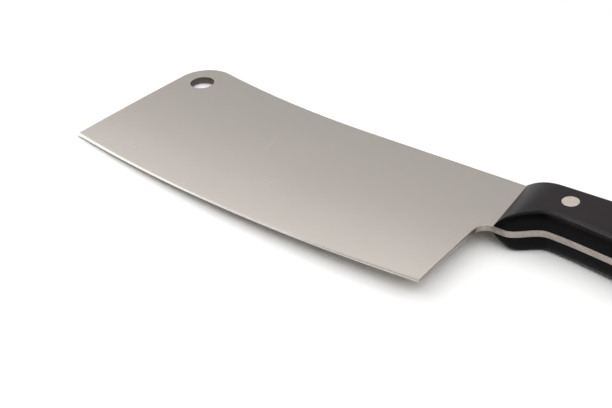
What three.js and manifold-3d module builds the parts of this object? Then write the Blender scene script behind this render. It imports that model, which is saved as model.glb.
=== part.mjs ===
// A cleaver: one steel blade with a full tang, two moulded handle scales and three two-piece rivets.
// Millimetres. X runs along the knife towards the butt, Y from the cutting edge to the spine, Z up.
// It is drawn from the heel, the corner where the cutting edge ends below the handle.
import * as THREE from 'three';
import { mergeVertices } from 'three/addons/utils/BufferGeometryUtils.js';
import Module from 'manifold-3d';

// Blade outline
const bladeLength = 179.6; // heel to tip corner
const spineHeight = 71.5; // heel to the straight part of the spine
const straightSpine = 72.3; // length of that straight part, in front of the heel
const flareRadius = 461; // hollow curve that lifts the spine towards the tip
const tipRise = 4.1; // the tip corner stands this far above the heel
const edgeSag = 5.5; // belly of the cutting edge, below the line from heel to tip
const tipLean = 3.4; // degrees, the tip's end leans back towards the handle
const tipRadius = 14; // round corner between the tip and the spine
const heelRadius = 1; // eased corner at the heel
const undersideHeight = 41.3; // heel to the underside of the handle's guard
const choilRadius = 5; // hollow between the heel and the guard

// Blade thickness
const bladeThickness = 3;
const thicknessAtHeel = 0.85; // both faces are ground flat from the guard's level down to this
const edgeAngle = 22; // degrees, each side of the sharpened edge
const edgeLand = 0.1; // width left at the very edge

// Hanging hole, placed from the centre of the round tip corner
const hangingHole = 10.4;
const holeTowardsTip = 1.8;
const holeTowardsSpine = 0.6;

// Handle outline, in runs from its front to its butt
const frontLean = 6.2; // degrees, the handle's front and its sections lean towards the tip at the spine
const guardRun = 4.5;
const grooveRun = 14.5; // rise from the guard into the finger groove
const palmRun = 44;
const waistRun = 26;
const beakRun = 20;
const buttRun = 9; // round end
const grooveDepth = 7.8; // each depth is measured up from the guard's underside
const palmDepth = 4.6;
const waistDepth = 5.8;
const beakDepth = 1;
const spineFall = 3; // the handle's spine sinks this far between the palm and the butt

// Handle scales
const scaleThickness = 7.5; // at the crest of the swell
const crestReach = 38; // from the handle's front to that crest
const frontThickness = 6.7; // where the swell would start if the front were not sloped off
const buttThickness = 6.6;
const bellySlope = 11; // length over which the front rises from the blade, along the belly
const spineSlope = 16; // the same along the spine
const frontFullness = 2.3; // power of that rise: 1 is a straight ramp, more is a fuller shoulder
const sideRoll = 3; // the rounded sides lean in this far
const lip = 0.3; // height of the thin step at the scale's ends
const largestSideShare = 1 / 3; // at the narrow butt, each rounded side takes at most this much of the width

// Rivets
const rivetPlaces = ['front', 'middle', 'rear'];
const rivetInset = 22.4; // from the handle's front to the first rivet, and from the last one to the beak
const rivetDrop = 10.4; // from the spine to the row of rivets
const pinDiameter = 2.6;
const sleeveWall = 0.9;
const headOverhang = 1; // the head stands out this far round its sleeve
const headThickness = 2.4;
const pinClearance = 0.1; // between pin and sleeve, all round
const rivetClearance = 0.15; // between a rivet and its hole, all round
const endGap = 0.5; // at the blind end of a sleeve and in front of its mouth

// Margin by which a cutting shape passes the metal that it cuts
const overcut = 2;

// Smoothness
const edgeSteps = 36;
const cornerSteps = 10;
const flareSteps = 14;
const rollSteps = 6;
const slopeSteps = 8;
const bodySteps = 20;
const roundSides = 24;

const half = bladeThickness / 2;
const lean = Math.tan(THREE.MathUtils.degToRad(frontLean));
const handleRun = guardRun + grooveRun + palmRun + waistRun + beakRun + buttRun;
const beakReach = handleRun - buttRun;

const wasm = await Module();
wasm.setup();

// A closed geometry as a solid that can be joined and cut.
function solid(geometry) {
  const bare = geometry.clone();
  bare.deleteAttribute('normal');
  bare.deleteAttribute('uv');
  const merged = mergeVertices(bare);
  const mesh = new wasm.Mesh({
    numProp: 3,
    vertProperties: merged.attributes.position.array,
    triVerts: new Uint32Array(merged.index.array),
  });
  return new wasm.Manifold(mesh);
}

// A solid back as a geometry.
function geometryOf(body) {
  const mesh = body.getMesh();
  const geometry = new THREE.BufferGeometry();
  geometry.setAttribute('position', new THREE.BufferAttribute(mesh.vertProperties, 3));
  geometry.setIndex(new THREE.BufferAttribute(mesh.triVerts, 1));
  geometry.computeVertexNormals();
  return geometry;
}

// Closed skin through convex loops with equally many points, flat at both ends. The loops follow
// each other towards the butt, and each one runs from Y round to Z.
function loft(loops) {
  const count = loops[0].length;
  const index = [];
  for (let k = 0; k + 1 < loops.length; k++) {
    for (let j = 0; j < count; j++) {
      const a = k * count + j;
      const b = k * count + ((j + 1) % count);
      index.push(a, b, b + count, a, b + count, a + count);
    }
  }
  const last = (loops.length - 1) * count;
  for (let j = 1; j + 1 < count; j++) {
    index.push(0, j + 1, j, last, last + j, last + j + 1);
  }
  const geometry = new THREE.BufferGeometry().setFromPoints(loops.flat());
  geometry.setIndex(index);
  geometry.computeVertexNormals();
  return geometry;
}

// The same geometry on the other side of the blade's middle plane.
function mirrored(geometry) {
  const copy = geometry.clone().scale(1, 1, -1);
  const index = copy.index.array;
  for (let i = 0; i < index.length; i += 3) {
    [index[i + 1], index[i + 2]] = [index[i + 2], index[i + 1]];
  }
  copy.computeVertexNormals();
  return copy;
}

// A turned piece standing along Z, from a profile of [radius, height] pairs that runs upwards.
function turned(profile) {
  const points = profile.map(([radius, height]) => new THREE.Vector2(radius, height));
  return new THREE.LatheGeometry(points, roundSides).rotateX(Math.PI / 2);
}

// Value at s of a smooth line through [position, value] stations, level at each of them.
function smoothLine(stations, s) {
  const next = stations.findIndex(([position]) => s < position);
  if (next === 0) return stations[0][1];
  if (next < 0) return stations.at(-1)[1];
  const [[p, a], [q, b]] = stations.slice(next - 1, next + 1);
  return THREE.MathUtils.lerp(a, b, THREE.MathUtils.smoothstep(s, p, q));
}

// What is left of a length at a distance along it, from 1 down to 0.
function restOf(length, distance) {
  return 1 - THREE.MathUtils.clamp(distance / length, 0, 1);
}

// Handle outline. A section at reach s leans like the handle's front.
const bellyStations = [
  [guardRun, undersideHeight],
  [guardRun + grooveRun, undersideHeight + grooveDepth],
  [guardRun + grooveRun + palmRun, undersideHeight + palmDepth],
  [beakReach - beakRun, undersideHeight + waistDepth],
  [beakReach, undersideHeight + beakDepth],
];
const spineStations = [
  [guardRun + grooveRun + palmRun, spineHeight],
  [beakReach, spineHeight - spineFall],
];

function handleX(s, y) {
  return choilRadius + s - lean * (y - undersideHeight);
}

function reachAt(x, y) {
  return x - choilRadius + lean * (y - undersideHeight);
}

// Heights of the belly and the spine of the handle at reach s. The butt closes as half an ellipse.
function handleEdges(s) {
  const belly = smoothLine(bellyStations, s);
  const spine = smoothLine(spineStations, s);
  const past = Math.max(0, s - beakReach) / buttRun;
  const middle = (belly + spine) / 2;
  const spread = ((spine - belly) / 2) * Math.sqrt(1 - past * past);
  return { belly: middle - spread, spine: middle + spread };
}

// Reaches of the handle's sections: close together on the sloped front and the round butt.
const slopeEnd = Math.max(bellySlope, spineSlope);
const handleReaches = [];
for (let i = 0; i < slopeSteps; i++) {
  handleReaches.push(slopeEnd * (1 - Math.cos(((i / slopeSteps) * Math.PI) / 2)));
}
for (let i = 0; i < bodySteps; i++) {
  handleReaches.push(THREE.MathUtils.lerp(slopeEnd, beakReach, i / bodySteps));
}
for (let i = 0; i < rollSteps; i++) {
  handleReaches.push(beakReach + buttRun * Math.sin(((i / rollSteps) * Math.PI) / 2));
}
const lastReach = handleReaches.at(-1);

// Height of a scale's outer face above the tang at reach s, a share of the way from belly to spine.
function scaleHeight(s, share) {
  const before = s < crestReach;
  const end = before ? frontThickness : buttThickness;
  const away = (s - crestReach) / (before ? crestReach : handleRun - crestReach);
  const swell = scaleThickness - (scaleThickness - end) * away * away;
  const slope = THREE.MathUtils.lerp(bellySlope, spineSlope, share);
  const rise = 1 - restOf(slope, s) ** frontFullness;
  const roundEnd = Math.sqrt(1 - restOf(sideRoll, lastReach - s) ** 2);
  return lip + (swell - lip) * rise * roundEnd;
}

// Height of the upper scale's outer face over a point of the blade's middle plane.
function faceHeight(x, y) {
  const s = reachAt(x, y);
  const { belly, spine } = handleEdges(s);
  return half + scaleHeight(s, (y - belly) / (spine - belly));
}

// Edge circle, through the heel, the tip corner and the belly between them
const tip = new THREE.Vector2(-bladeLength, tipRise);
const chord = tip.length();
const edgeRadius = (chord * chord) / (8 * edgeSag) + edgeSag / 2;
const edgeCentre = new THREE.Vector2(tipRise, bladeLength)
  .setLength(edgeRadius - edgeSag)
  .addScaledVector(tip, 1 / 2);
const tipAngle = tip.clone().sub(edgeCentre).angle();
const heelAngle = edgeCentre.clone().negate().angle();

// Round tip corner, tangent to the leaning end and to the flare of the spine
const leanAngle = THREE.MathUtils.degToRad(tipLean);
const upTip = new THREE.Vector2(Math.sin(leanAngle), Math.cos(leanAngle));
const inFromTip = new THREE.Vector2(upTip.y, -upTip.x);
const flareCentre = new THREE.Vector2(-straightSpine, spineHeight + flareRadius);
const tipCorner = tip.clone().addScaledVector(inFromTip, tipRadius);
const toFlare = flareCentre.clone().sub(tipCorner);
const along = toFlare.dot(upTip);
const across = toFlare.dot(inFromTip);
tipCorner.addScaledVector(upTip, along - Math.sqrt((flareRadius + tipRadius) ** 2 - across * across));
const flareAngle = tipCorner.clone().sub(flareCentre).angle();

// Points of an arc, the last one included.
function arcPoints(centre, radius, from, to, steps) {
  const arc = new THREE.ArcCurve(centre.x, centre.y, radius, from, to, to < from);
  return arc.getPoints(steps);
}

// Outline of blade and tang, from the heel along the edge, up the tip and back along the spine.
function bladeOutline() {
  const heelX = -heelRadius - edgeCentre.x;
  const heelDrop = Math.sqrt((edgeRadius - heelRadius) ** 2 - heelX * heelX);
  const heelCentre = new THREE.Vector2(-heelRadius, edgeCentre.y - heelDrop);
  const heelTurn = Math.atan2(-heelDrop, heelX);
  const edgeStart = heelTurn + 2 * Math.PI;
  const choilCentre = new THREE.Vector2(choilRadius, undersideHeight - choilRadius);
  const edges = handleReaches.map((s) => ({ s, ...handleEdges(s) }));
  const tangSpine = edges.map(({ s, spine }) => new THREE.Vector2(handleX(s, spine), spine));
  const tangBelly = edges.map(({ s, belly }) => new THREE.Vector2(handleX(s, belly), belly));
  return [
    ...arcPoints(heelCentre, heelRadius, 0, heelTurn, cornerSteps),
    ...arcPoints(edgeCentre, edgeRadius, edgeStart, tipAngle, edgeSteps).slice(1),
    ...arcPoints(tipCorner, tipRadius, Math.PI - leanAngle, flareAngle - Math.PI, cornerSteps),
    ...arcPoints(flareCentre, flareRadius, flareAngle, 1.5 * Math.PI, flareSteps).slice(1),
    ...tangSpine,
    ...tangBelly.reverse(),
    ...arcPoints(choilCentre, choilRadius, Math.PI / 2, Math.PI, cornerSteps).slice(1),
  ];
}

// Wedge of metal that the flat grind takes off the upper face, from the guard's level to past the edge.
function grindWedge() {
  const slope = (half - thicknessAtHeel / 2) / undersideHeight;
  const low = -edgeSag - overcut;
  const top = half + slope * overcut;
  const profile = [
    [low, thicknessAtHeel / 2 + slope * low],
    [undersideHeight + overcut, top],
    [low, top],
  ];
  const ends = [-bladeLength - overcut, choilRadius];
  return loft(ends.map((x) => profile.map(([y, z]) => new THREE.Vector3(x, y, z))));
}

// Sliver that sharpening takes off the upper face, swept along the edge circle.
function edgeBevel() {
  const slope = Math.tan(THREE.MathUtils.degToRad(edgeAngle));
  const width = half / slope;
  const top = half + edgeLand / 2;
  const profile = [
    [edgeRadius - width, top],
    [edgeRadius + overcut, top],
    [edgeRadius + overcut, edgeLand / 2 - slope * overcut],
  ];
  const margin = overcut / edgeRadius;
  const loops = [];
  for (let i = 0; i <= edgeSteps; i++) {
    const angle = THREE.MathUtils.lerp(tipAngle - margin, heelAngle + margin, i / edgeSteps);
    const outwards = new THREE.Vector2(Math.cos(angle), Math.sin(angle));
    loops.push(profile.map(([radius, z]) => {
      const point = edgeCentre.clone().addScaledVector(outwards, radius);
      return new THREE.Vector3(point.x, point.y, z);
    }));
  }
  return loft(loops);
}

// Rivets, in a row parallel to the straight part of the spine
const rivetY = spineHeight - rivetDrop;
const pinRadius = pinDiameter / 2;
const boreRadius = pinRadius + pinClearance;
const sleeveRadius = boreRadius + sleeveWall;
const headRadius = sleeveRadius + headOverhang;
const rivets = rivetPlaces.map((place, i) => {
  const reach = THREE.MathUtils.lerp(rivetInset, beakReach - rivetInset, i / (rivetPlaces.length - 1));
  const x = handleX(reach, rivetY);
  return { place, x, seat: faceHeight(x, rivetY) - headThickness };
});

// A through hole with a wide seat for a rivet's head, opening upwards.
function rivetHole({ x, seat }) {
  const top = half + scaleThickness + overcut;
  const hole = turned([
    [0, -half - overcut],
    [sleeveRadius + rivetClearance, -half - overcut],
    [sleeveRadius + rivetClearance, seat],
    [headRadius + rivetClearance, seat],
    [headRadius + rivetClearance, top],
    [0, top],
  ]);
  return solid(hole.translate(x, rivetY, 0));
}

// A rivet half with its head ground flush with the scale round it.
function rivetHalf({ x, seat }, profile) {
  const top = seat + headThickness;
  const closed = [...profile, [headRadius, seat], [headRadius, top], [0, top]];
  const geometry = turned(closed).translate(x, rivetY, 0);
  const position = geometry.attributes.position;
  for (let i = 0; i < position.count; i++) {
    const surface = faceHeight(position.getX(i), position.getY(i));
    if (position.getZ(i) > (seat + top) / 2) position.setZ(i, surface);
  }
  geometry.computeVertexNormals();
  return geometry;
}

// Upper half: a headed sleeve, open below for the pin.
function rivetSleeve(rivet) {
  const mouth = -rivet.seat + endGap;
  return rivetHalf(rivet, [
    [0, rivet.seat],
    [boreRadius, rivet.seat],
    [boreRadius, mouth],
    [sleeveRadius, mouth],
    [sleeveRadius, rivet.seat],
  ]);
}

// Lower half: a headed pin that fills the sleeve. It is shaped head up and then turned over.
function rivetPin(rivet) {
  const end = -rivet.seat + endGap;
  return mirrored(rivetHalf(rivet, [
    [0, end],
    [pinRadius, end],
    [pinRadius, rivet.seat],
  ]));
}

// Blade with its full tang
function bladeSolid() {
  const shape = new THREE.Shape(bladeOutline());
  const plate = new THREE.ExtrudeGeometry(shape, { depth: bladeThickness, bevelEnabled: false });
  let blade = solid(plate.translate(0, 0, -half));
  for (const cutter of [grindWedge(), edgeBevel()]) {
    blade = blade.subtract(solid(cutter)).subtract(solid(mirrored(cutter)));
  }
  const hole = turned([
    [0, -half - overcut],
    [hangingHole / 2, -half - overcut],
    [hangingHole / 2, half + overcut],
    [0, half + overcut],
  ]);
  hole.translate(tipCorner.x - holeTowardsTip, tipCorner.y + holeTowardsSpine, 0);
  return rivets.reduce((body, rivet) => body.subtract(rivetHole(rivet)), blade.subtract(solid(hole)));
}

// Quarter ellipse from the tang up to the outer face, as [inset, z] pairs.
function roundedSide(height, widest) {
  const roll = Math.min(sideRoll * (height / scaleThickness), widest);
  const side = [];
  for (let i = 0; i <= rollSteps; i++) {
    const turn = ((i / rollSteps) * Math.PI) / 2;
    side.push([roll * (1 - Math.cos(turn)), half + height * Math.sin(turn)]);
  }
  return side;
}

// Upper scale: sections with a flat seat, elliptical sides and a straight top, drilled for the rivets
function scaleSolid() {
  const loops = handleReaches.map((s) => {
    const { belly, spine } = handleEdges(s);
    const widest = (spine - belly) * largestSideShare;
    const spineSide = roundedSide(scaleHeight(s, 1), widest).map(([inset, z]) => [spine - inset, z]);
    const bellySide = roundedSide(scaleHeight(s, 0), widest).map(([inset, z]) => [belly + inset, z]);
    const loop = [...spineSide, ...bellySide.reverse()];
    return loop.map(([y, z]) => new THREE.Vector3(handleX(s, y), y, z));
  });
  return rivets.reduce((body, rivet) => body.subtract(rivetHole(rivet)), solid(loft(loops)));
}

const steel = { color: 0xb9b1a8, roughness: 0.42, metalness: 0.9 };
const blackPlastic = { color: 0x262425, roughness: 0.5, metalness: 0 };
const rivetSteel = { color: 0xcdc5ba, roughness: 0.35, metalness: 0.9 };

function piece(name, geometry, finish) {
  const mesh = new THREE.Mesh(geometry, new THREE.MeshStandardMaterial(finish));
  mesh.name = name;
  return mesh;
}

const upperScale = geometryOf(scaleSolid());
const knife = new THREE.Group();
knife.add(piece('blade', geometryOf(bladeSolid()), steel));
knife.add(piece('scale_upper', upperScale, blackPlastic));
knife.add(piece('scale_lower', mirrored(upperScale), blackPlastic));
for (const rivet of rivets) {
  knife.add(piece(`rivet_${rivet.place}_sleeve`, rivetSleeve(rivet), rivetSteel));
  knife.add(piece(`rivet_${rivet.place}_pin`, rivetPin(rivet), rivetSteel));
}

// The part's origin is under the middle of its box, on the surface that the handle lies on.
const box = new THREE.Box3().setFromObject(knife);
const middle = box.getCenter(new THREE.Vector3());
knife.position.set(-middle.x, -middle.y, -box.min.z);
const chopper = new THREE.Group();
chopper.add(knife);

export default chopper;
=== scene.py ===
"""Looks of a chopping knife: a steel blade with a full tang, black handle scales and ground rivets.

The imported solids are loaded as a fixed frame. Each sub-assembly is drawn again over its solids with
finer curves and eased edges, in millimetres from the heel, the corner where the cutting edge ends
below the handle. X runs towards the butt, Y from the cutting edge to the spine, Z up. Sizes are
in millimetres and angles in degrees, where nothing else is said.
"""

import logging
import math
from collections.abc import Callable, Iterable, Sequence
from dataclasses import dataclass, field, fields, replace
from enum import Enum, IntEnum
from functools import cache, partial

import bmesh
import bpy
from bpy.types import Material, Mesh, Node, NodeSocket, NodeTree, Object
from mathutils import Matrix, Vector
from mathutils.geometry import delaunay_2d_cdt, intersect_point_tri_2d


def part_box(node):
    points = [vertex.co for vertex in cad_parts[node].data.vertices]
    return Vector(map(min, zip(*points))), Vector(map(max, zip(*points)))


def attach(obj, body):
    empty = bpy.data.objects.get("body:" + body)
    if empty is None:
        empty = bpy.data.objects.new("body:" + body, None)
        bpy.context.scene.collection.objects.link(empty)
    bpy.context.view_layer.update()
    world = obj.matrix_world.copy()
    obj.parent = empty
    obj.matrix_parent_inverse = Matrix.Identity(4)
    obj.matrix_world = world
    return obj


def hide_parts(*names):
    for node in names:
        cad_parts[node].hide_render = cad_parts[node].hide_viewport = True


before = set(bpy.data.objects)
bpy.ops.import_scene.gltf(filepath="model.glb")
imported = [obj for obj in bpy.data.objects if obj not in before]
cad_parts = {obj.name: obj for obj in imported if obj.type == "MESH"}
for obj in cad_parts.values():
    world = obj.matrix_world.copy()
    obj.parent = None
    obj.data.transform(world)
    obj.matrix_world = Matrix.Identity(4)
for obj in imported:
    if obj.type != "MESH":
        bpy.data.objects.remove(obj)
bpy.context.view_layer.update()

LOG = logging.getLogger("chopping_knife")
MM = 0.001
QUARTER_TURN = math.pi / 2
FULL_TURN = 2 * math.pi

Flat = tuple[float, float]
Point = tuple[float, float, float]
Colour = tuple[float, float, float, float]
Finder = Callable[[float, float], int]

# Sizes in millimetres that fix where the heel lies in the CAD frame
BLADE_LENGTH = 179.6
SPINE_HEIGHT = 71.5
TANG_THICKNESS = 3.0
SCALE_LOW, SCALE_HIGH = (Vector(corner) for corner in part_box("scale_upper"))
HEEL = Vector((
    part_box("blade")[0][0] + BLADE_LENGTH * MM,
    SCALE_HIGH.y - SPINE_HEIGHT * MM,
    SCALE_LOW.z - TANG_THICKNESS / 2 * MM,
))

# Triangulation in plan: it keeps what lies within the rim, and points this close are one
WITHIN_RIM = 1
PLAN_GRAIN = 1e-7
# Two points of an outline that are closer than this, in millimetres, are one
SAME_POINT = 1e-4
# Points of a turned rivet that are closer than this, in metres, are welded
WELD = 1e-6


class Side(Enum):
    """The two sides of the blade, by the sign of their height."""

    UPPER = 1
    LOWER = -1


class BladeFinish(IntEnum):
    """Material slots of the blade's mesh."""

    SATIN = 0
    # The rims' finish is darkened with painted shade
    GROUND = 1
    HONED = 2
    # The hole walls' finish is darkened with painted shade
    PUNCHED = 3


class ScaleFinish(IntEnum):
    """Material slots of a scale's mesh. From FADE on, the face's painted light runs out in steps into
    the sides' painted shade.
    """

    FACE = 0
    SIDE = 1
    CORNER = 2
    FADE = 3


# Shared drawing aids


def placed(x: float, y: float, z: float) -> Vector:
    """Point in the CAD frame, in metres, of a place in millimetres from the heel."""
    return Vector((x, y, z)) * MM + HEEL


def spread(start: float, end: float, steps: int) -> list[float]:
    """Evenly spaced values from start to end, both included."""
    return [start + (end - start) * i / steps for i in range(steps + 1)]


def lerp(a: float, b: float, share: float) -> float:
    """Value a share of the way from a to b."""
    return a + (b - a) * share


def clamp(value: float) -> float:
    """Value held between 0 and 1."""
    return min(1.0, max(0.0, value))


def arc(centre: Flat, radius: float, start: float, end: float, steps: int) -> list[Flat]:
    """Points of an arc between two angles in radians, both ends included."""
    turns = spread(start, end, steps)
    return [(centre[0] + radius * math.cos(t), centre[1] + radius * math.sin(t)) for t in turns]


def ring(centre: Flat, radius: float, sides: int) -> list[Flat]:
    """Points of a whole circle, the first one not repeated."""
    return arc(centre, radius, 0, FULL_TURN, sides)[:-1]


def straight(start: Flat, end: Flat, longest: float) -> list[Flat]:
    """Points of a straight line, both ends included, no further apart than the longest step."""
    steps = max(1, math.ceil(math.dist(start, end) / longest))
    return [(lerp(start[0], end[0], t), lerp(start[1], end[1], t)) for t in spread(0, 1, steps)]


def smooth_line(stations: Sequence[Flat], s: float) -> float:
    """Value at s of a smooth line through (position, value) stations, level at each of them.

    Args:
        stations: Positions in rising order, each with its value.
        s: Position at which the line is read.

    Returns:
        The line's value there, and the end station's value past either end.
    """
    if s <= stations[0][0]:
        return stations[0][1]
    for (p, a), (q, b) in zip(stations, stations[1:]):
        if s < q:
            t = (s - p) / (q - p)
            return lerp(a, b, t * t * (3 - 2 * t))
    return stations[-1][1]


def inside(point: Flat, outline: list[Flat]) -> bool:
    """Tell whether a point in plan lies inside a closed outline.

    Args:
        point: The point.
        outline: Corners of the outline in order.

    Returns:
        True where a line from the point crosses the outline an odd number of times.
    """
    x, y = point
    crossed = False
    for (ax, ay), (bx, by) in zip(outline, outline[1:] + outline[:1]):
        if (ay > y) != (by > y) and x < ax + (y - ay) / (by - ay) * (bx - ax):
            crossed = not crossed
    return crossed


def distance(point: Flat, others: list[Flat]) -> float:
    """Distance in plan from a point to the nearest of some others."""
    return min(math.dist(point, other) for other in others)


def height_over(corners: Sequence[Vector], place: Vector) -> float:
    """Find how high the plane through three corners passes over a place.

    Args:
        corners: The three corners.
        place: The place in plan.

    Returns:
        The height, in the corners' own unit.
    """
    first, second, third = corners
    square = (second - first).cross(third - first)
    return first.z - square.xy.dot(place - first.xy) / square.z


def levels(hex_colour: str) -> list[int]:
    """Red, green and blue of a hex colour, from 0 to 255."""
    return [int(hex_colour[i:i + 2], 16) for i in (1, 3, 5)]


def linear_colour(hex_colour: str) -> Colour:
    """Turn an sRGB hex colour into the linear colour that a shader takes, with an alpha of 1."""
    shares = [level / 255 for level in levels(hex_colour)]
    return (*(v / 12.92 if v <= 0.04045 else ((v + 0.055) / 1.055) ** 2.4 for v in shares), 1.0)


def mixed_colour(first: str, second: str, share: float) -> str:
    """Hex colour a share of the way from the first to the second."""
    pairs = zip(levels(first), levels(second))
    return "#" + "".join(f"{round(lerp(a, b, share)):02X}" for a, b in pairs)


def add_node(
    tree: NodeTree,
    kind: str,
    inputs: dict[str | int, object] | None = None,
    **settings: object,
) -> Node:
    """Add a node with its settings and what goes into it.

    Args:
        tree: Node tree that gets the node.
        kind: Blender's name of the node type.
        inputs: A value, or the socket to link, for each input by its name or number.
        **settings: Attributes of the node itself.

    Returns:
        The new node.
    """
    node = tree.nodes.new(kind)
    for name, value in settings.items():
        setattr(node, name, value)
    for key, value in (inputs or {}).items():
        if isinstance(value, NodeSocket):
            tree.links.new(value, node.inputs[key])
        else:
            node.inputs[key].default_value = value
    return node


@dataclass
class Skin:
    """A closed mesh that is put together from rows of points, in millimetres from the heel."""

    points: list[Vector] = field(default_factory=list)
    faces: list[tuple[int, ...]] = field(default_factory=list)
    finishes: list[int] = field(default_factory=list)

    def row(self, points: Iterable[Sequence[float]]) -> list[int]:
        """Add points.

        Args:
            points: The points in order.

        Returns:
            Their numbers in the same order.
        """
        start = len(self.points)
        self.points.extend(Vector(point) for point in points)
        return list(range(start, len(self.points)))

    def middle(self, numbers: Sequence[int]) -> Vector:
        """Mean of the points with these numbers."""
        return sum((self.points[i] for i in numbers), Vector((0, 0, 0))) / len(numbers)

    def face(self, corners: Sequence[int], finish_at: Finder) -> None:
        """Add one face, with the finish that belongs at its middle."""
        self.faces.append(tuple(corners))
        self.finishes.append(finish_at(*self.middle(corners).xy))

    def band(
        self, first: list[int], second: list[int], finish_at: Finder, closed: bool = True
    ) -> None:
        """Join two rows of equally many points by a band of quads.

        Args:
            first: Numbers of the first row's points.
            second: Numbers of the second row's points.
            finish_at: Gives the finish at a place in plan.
            closed: Whether the band also joins the rows' ends to their starts.
        """
        count = len(first)
        for i in range(count if closed else count - 1):
            j = (i + 1) % count
            self.face((first[i], second[i], second[j], first[j]), finish_at)

    def sheet(
        self,
        outline: list[int],
        holes: Sequence[list[int]],
        loose: list[int],
        lines: list[list[int]],
        finish_at: Finder,
    ) -> None:
        """Fill an outline, seen in plan, with triangles through loose points and along lines.

        Args:
            outline: Numbers of the points round the sheet.
            holes: Rows of points round each round hole.
            loose: Points within the sheet, those of the lines included.
            lines: Open rows of points that the triangles' sides keep to.
            finish_at: Gives the finish at a place in plan.
        """
        numbers = [*outline, *(i for hole in holes for i in hole), *loose]
        place = {number: k for k, number in enumerate(numbers)}
        sides = [(row[i - 1], row[i]) for row in (outline, *holes) for i in range(len(row))]
        sides += [pair for line in lines for pair in zip(line, line[1:])]
        plan = [self.points[i].xy for i in numbers]
        edges = [(place[a], place[b]) for a, b in sides]
        _, _, faces, sources, _, _ = delaunay_2d_cdt(plan, edges, [], WITHIN_RIM, PLAN_GRAIN)
        rounds = []
        for hole in holes:
            centre = self.middle(hole).xy
            rounds.append((centre, (self.points[hole[0]].xy - centre).length))
        for face in faces:
            corners = [numbers[sources[v][0]] for v in face]
            middle = self.middle(corners).xy
            if all((middle - centre).length > radius for centre, radius in rounds):
                self.face(corners, finish_at)

    def piece(self, name: str, crease: float) -> Object:
        """Make a finished piece of the skin.

        Args:
            name: Name of the object.
            crease: Angle in degrees past which an edge is drawn sharp.

        Returns:
            The piece's object.
        """
        mesh = bpy.data.meshes.new(name)
        mesh.from_pydata([placed(*point) for point in self.points], [], self.faces)
        mesh.polygons.foreach_set("material_index", self.finishes)
        return finished(name, mesh, crease)


def finished(name: str, mesh: Mesh, crease: float) -> Object:
    """Put a mesh into the scene as a smooth piece with sharp creases and its faces outwards.

    Args:
        name: Name of the object.
        mesh: Closed mesh in metres, in the CAD frame.
        crease: Angle in degrees past which an edge is drawn sharp.

    Returns:
        The new object, at the origin and with its place in its mesh.
    """
    shell = bmesh.new()
    shell.from_mesh(mesh)
    bmesh.ops.recalc_face_normals(shell, faces=shell.faces)
    shell.to_mesh(mesh)
    shell.free()
    mesh.shade_smooth()
    mesh.set_sharp_from_angle(angle=math.radians(crease))
    return in_scene(name, mesh)


def in_scene(name: str, data: bpy.types.ID) -> Object:
    """Put something into the scene as an object.

    Args:
        name: Name of the object.
        data: Its mesh, lamp or camera.

    Returns:
        The new object.
    """
    thing = bpy.data.objects.new(name, data)
    bpy.context.collection.objects.link(thing)
    return thing


# Finishes

# Faint marks of the last wipe with a cloth, in millimetres, and their share of the blur
WIPE_MARK = 28.0
WIPE_SHARE = 0.35
# Width of the areas that hands rub, in millimetres
RUBBED_AREA = 18.0
# Where most of a noise's values lie, and where the tones of scratches and of rubbed areas run
NOISE_RANGE = (0.3, 0.7)
SCRATCH_TONES = (0.36, 0.6)
RUBBED_TONES = (0.35, 0.7)


def new_material(name: str, constants: dict[str, object]) -> tuple[Material, Node]:
    """Start a material.

    Args:
        name: The material's name.
        constants: Values of the shader's own sockets.

    Returns:
        The material and its shader.
    """
    material = bpy.data.materials.new(name)
    material.use_nodes = True
    shader = material.node_tree.nodes["Principled BSDF"]
    for socket, value in constants.items():
        shader.inputs[socket].default_value = value
    return material, shader


def lead_in(
    shader: Node,
    tone: tuple[NodeSocket, Flat, tuple[Colour, Colour]],
    blur: tuple[NodeSocket, float, float],
    relief: tuple[NodeSocket, float],
) -> None:
    """Lead patterns into a shader's colour, roughness and normal.

    Args:
        shader: The material's shader.
        tone: Pattern, where its tones start and end, and the colours there.
        blur: Pattern, the mean roughness, and how far the pattern moves it up and down.
        relief: Pattern, and the relief's depth in millimetres.
    """
    tree = shader.id_data
    add = partial(add_node, tree)
    ramp = add("ShaderNodeValToRGB", {"Fac": tone[0]})
    for stop, position, colour in zip(ramp.color_ramp.elements, tone[1], tone[2]):
        stop.position, stop.color = position, colour
    marks, mean, swing = blur
    rough = add("ShaderNodeMapRange", {
        "Value": marks,
        "From Min": NOISE_RANGE[0],
        "From Max": NOISE_RANGE[1],
        "To Min": mean - swing,
        "To Max": mean + swing,
    })
    bump = add("ShaderNodeBump", {
        "Height": relief[0], "Distance": relief[1] * MM, "Strength": 1.0,
    })
    tree.links.new(ramp.outputs["Color"], shader.inputs["Base Color"])
    tree.links.new(rough.outputs["Result"], shader.inputs["Roughness"])
    tree.links.new(bump.outputs["Normal"], shader.inputs["Normal"])


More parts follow.
